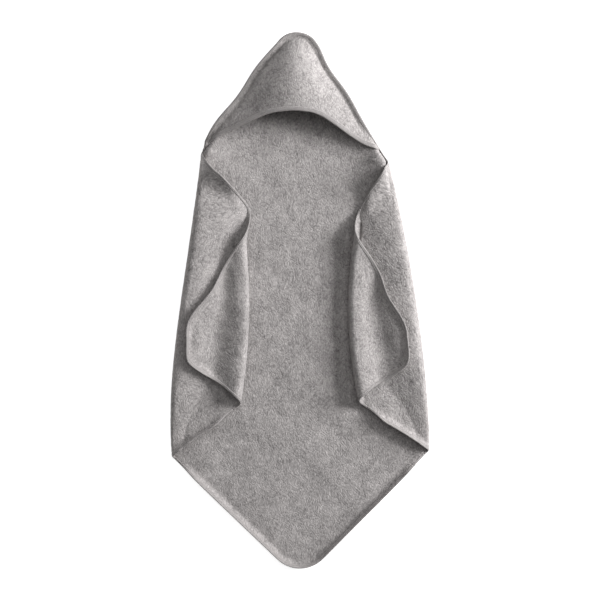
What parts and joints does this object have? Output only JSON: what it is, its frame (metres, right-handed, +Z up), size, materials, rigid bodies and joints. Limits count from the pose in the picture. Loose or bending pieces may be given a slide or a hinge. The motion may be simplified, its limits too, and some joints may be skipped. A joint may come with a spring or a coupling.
{
  "type": "hooded baby towel",
  "caption": "Square terry towel with a hood over one corner and taped edges, laid flat with both side corners folded in over the middle and turned back out.",
  "frame": {"origin": "middle of the towel's outline as it lies folded, on the surface it lies on", "axes": "+Y from the tail to the hood's point, +Z up off the surface, +X to the right seen from above with the hood at the top"},
  "size_m": [0.5187, 1.0816, 0.0681],
  "materials": {
    "terry": "warm grey looped terry",
    "tape": "darker grey woven tape",
    "thread": "grey sewing thread"
  },
  "bodies": {
    "centre": {"centre_binding_left": "tape", "centre_binding_right": "tape", "centre_panel": "terry", "centre_stitching_left": "thread", "centre_stitching_right": "thread"},
    "hood": {"hood_back_panel": "terry", "hood_edge_binding": "tape", "hood_edge_stitching": "thread", "hood_front_panel": "terry", "hood_mouth_binding": "tape", "hood_mouth_stitching": "thread"},
    "tail": {"tail_binding": "tape", "tail_panel": "terry", "tail_stitching": "thread"},
    "wing_left": {"wing_lower_binding_left": "tape", "wing_lower_stitching_left": "thread", "wing_panel_left": "terry", "wing_upper_binding_left": "tape", "wing_upper_stitching_left": "thread"},
    "wing_right": {"wing_lower_binding_right": "tape", "wing_lower_stitching_right": "thread", "wing_panel_right": "terry", "wing_upper_binding_right": "tape", "wing_upper_stitching_right": "thread"},
    "tip_left": {"tip_binding_left": "tape", "tip_panel_left": "terry", "tip_stitching_left": "thread"},
    "tip_right": {"tip_binding_right": "tape", "tip_panel_right": "terry", "tip_stitching_right": "thread"}
  },
  "joints": [
    {"name": "hood_fold", "type": "hinge", "parent": "centre", "child": "hood", "pos_m": [-0.199, 0.304, 0.0075], "axis": [0.9988, -0.0481, 0], "range_deg": [0, 105]},
    {"name": "tail_fold", "type": "hinge", "parent": "centre", "child": "tail", "pos_m": [0, -0.346, 0.0053], "axis": [-1, 0, 0], "range_deg": [0, 150]},
    {"name": "wing_fold_left", "type": "hinge", "parent": "centre", "child": "wing_left", "pos_m": [-0.20298, 0.30438, 0.00875], "axis": [-0.0941, -0.9956, 0], "range_deg": [0, 180]},
    {"name": "wing_fold_right", "type": "hinge", "parent": "centre", "child": "wing_right", "pos_m": [0.17896, 0.28655, 0.00875], "axis": [-0.1384, 0.9904, 0], "range_deg": [0, 180]},
    {"name": "tip_fold_left", "type": "hinge", "parent": "wing_left", "child": "tip_left", "pos_m": [-0.10408, 0.16998, 0.02175], "axis": [0.0054, 1, 0], "range_deg": [0, 180]},
    {"name": "tip_fold_right", "type": "hinge", "parent": "wing_right", "child": "tip_right", "pos_m": [0.10007, 0.16998, 0.02175], "axis": [0.0054, -1, 0], "range_deg": [0, 180]}
  ]
}
